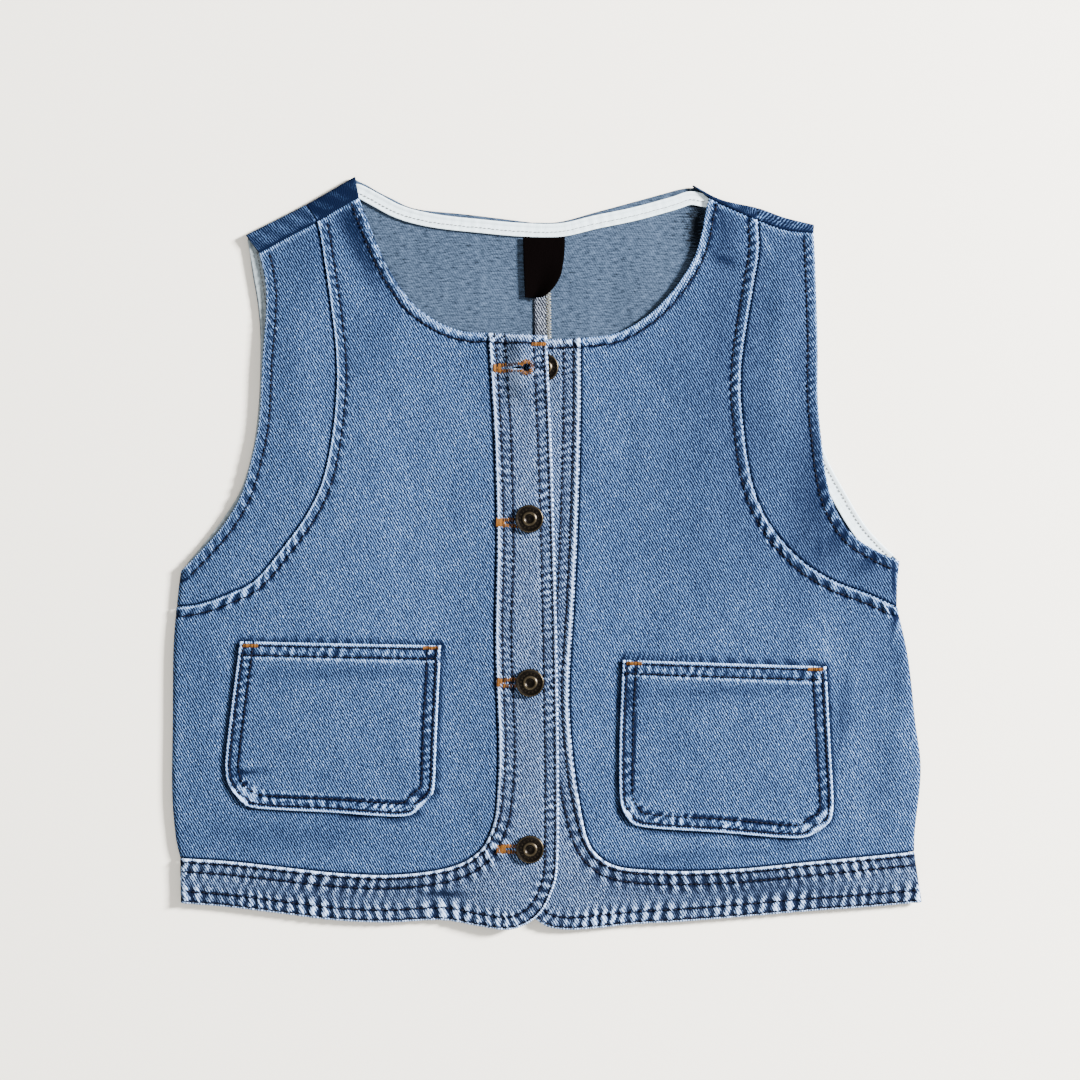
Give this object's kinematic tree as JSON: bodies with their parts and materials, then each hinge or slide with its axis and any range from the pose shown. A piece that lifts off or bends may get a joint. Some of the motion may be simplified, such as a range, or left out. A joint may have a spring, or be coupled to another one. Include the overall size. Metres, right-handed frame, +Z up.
{
  "type": "denim vest",
  "caption": "Cropped sleeveless denim vest with a round neck, curved front bands, patch pockets and metal buttons, laid flat with its front up.",
  "frame": {"origin": "middle of the vest's foot: half its width and half its length, at the level of the surface it lies on", "axes": "+Z up from the surface, +Y from the hem to the neck, +X to the right as seen from above"},
  "size_m": [0.466, 0.4674, 0.0122],
  "materials": {
    "denim": "washed mid-blue twill, worn pale at the seams",
    "band_denim": "washed doubled twill with rows of dark topstitching, streaked pale along its folds",
    "bias_tape": "plain white cotton tape",
    "label": "black woven, plain",
    "button": "dark burnished metal with a brighter raised ring"
  },
  "bodies": {
    "root": {"back_body_left": "denim", "back_body_right": "denim", "back_armhole_panel_left": "denim", "back_armhole_panel_right": "denim", "front_body_left": "denim", "front_body_right": "denim", "front_armhole_panel_left": "denim", "front_armhole_panel_right": "denim", "pocket_left": "denim", "pocket_right": "denim", "back_hem_band": "band_denim", "front_band_left": "band_denim", "front_band_right": "band_denim", "neck_tape": "bias_tape", "armhole_tape_left": "bias_tape", "armhole_tape_right": "bias_tape", "label": "label", "button_1": "button", "button_2": "button", "button_3": "button", "button_4": "button"}
  },
  "joints": []
}
